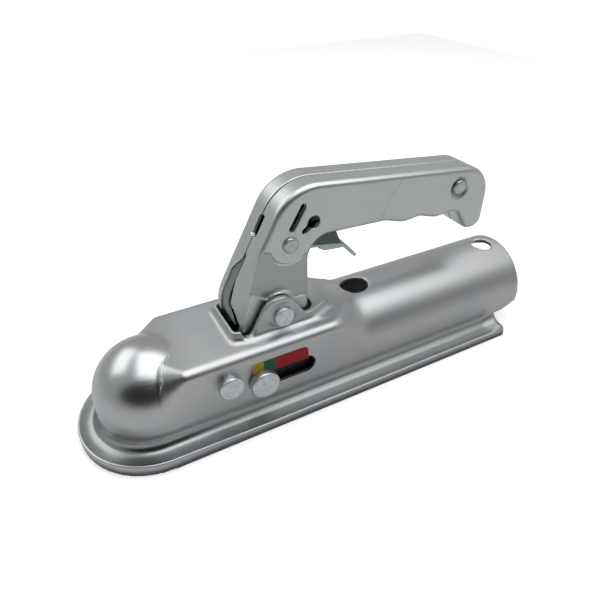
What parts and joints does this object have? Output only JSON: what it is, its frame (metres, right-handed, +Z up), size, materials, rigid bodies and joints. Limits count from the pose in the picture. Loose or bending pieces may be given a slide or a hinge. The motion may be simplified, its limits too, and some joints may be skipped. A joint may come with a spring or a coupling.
{
  "type": "trailer coupling head",
  "caption": "Pressed steel coupling head that locks over a tow ball, with a lift handle, sliding lock pin, squeeze catch and a round socket for the drawbar.",
  "frame": {"origin": "centre of the tow ball when the head is coupled", "axes": "+X along the drawbar towards the trailer, +Z up, -Y the side with the indicator strip"},
  "size_m": [0.2805, 0.08, 0.1222],
  "materials": {
    "housing": "satin zinc plate",
    "indicator_strip": "printed yellow, green and red",
    "jaw_pin": "bright zinc plate",
    "jaw_pin_ring": "satin zinc plate",
    "jaw_spring": "satin zinc plate",
    "spring_seat": "satin zinc plate",
    "pivot_pin": "bright zinc plate",
    "pivot_washer_near": "plain",
    "pivot_washer_far": "plain",
    "handle_near_shell": "satin zinc plate",
    "handle_far_shell": "satin zinc plate",
    "pivot_sleeve": "satin zinc plate",
    "front_rivet": "bright zinc plate",
    "rear_rivet": "bright zinc plate",
    "rear_spacer": "satin zinc plate",
    "trigger_spring": "satin zinc plate",
    "trigger": "satin zinc plate with a faint green tint",
    "lock_pin": "bright zinc plate",
    "lock_pin_washer": "satin zinc plate",
    "lock_pin_clip": "satin zinc plate",
    "slot_cover_near": "moulded black",
    "slot_cover_far": "moulded black",
    "thrust_block": "plated",
    "spring_guide": "satin zinc plate",
    "main_spring": "satin zinc plate",
    "ball_jaw": "plated"
  },
  "bodies": {
    "housing": {"housing": "housing", "indicator_strip": "indicator_strip", "jaw_pin": "jaw_pin", "jaw_pin_ring": "jaw_pin_ring", "jaw_spring": "jaw_spring", "spring_seat": "spring_seat", "pivot_pin": "pivot_pin", "pivot_washer_near": "pivot_washer_near", "pivot_washer_far": "pivot_washer_far"},
    "handle": {"handle_near_shell": "handle_near_shell", "handle_far_shell": "handle_far_shell", "pivot_sleeve": "pivot_sleeve", "front_rivet": "front_rivet", "rear_rivet": "rear_rivet", "rear_spacer": "rear_spacer", "trigger_spring": "trigger_spring"},
    "trigger": {"trigger": "trigger"},
    "lock": {"lock_pin": "lock_pin", "lock_pin_washer": "lock_pin_washer", "lock_pin_clip": "lock_pin_clip", "slot_cover_near": "slot_cover_near", "slot_cover_far": "slot_cover_far", "thrust_block": "thrust_block", "spring_guide": "spring_guide", "main_spring": "main_spring"},
    "jaw": {"ball_jaw": "ball_jaw"}
  },
  "joints": [
    {"name": "handle_lift", "type": "hinge", "parent": "housing", "child": "handle", "pos_m": [0.072, 0, 0.0336], "axis": [0, -1, 0], "range_deg": [0, 46.8]},
    {"name": "lock_slide", "type": "slide", "parent": "housing", "child": "lock", "axis": [1, 0, 0], "range_m": [0, 0.026], "deforming": ["main_spring"]},
    {"name": "jaw_swing", "type": "hinge", "parent": "housing", "child": "jaw", "pos_m": [0.0357, 0, 0.01], "axis": [0, -1, 0], "range_deg": [0, 22]},
    {"name": "trigger_squeeze", "type": "hinge", "parent": "handle", "child": "trigger", "pos_m": [0.0799, 0, 0.0708], "axis": [0, -1, 0], "range_deg": [0, 8], "stiffness_Nm_per_rad": 0.6, "springref_deg": -5.73}
  ],
  "couplings": [
    {"joint": "lock_slide", "follows": "handle_lift", "m_per_rad": 0.0318},
    {"joint": "jaw_swing", "follows": "handle_lift", "ratio": 0.469}
  ]
}
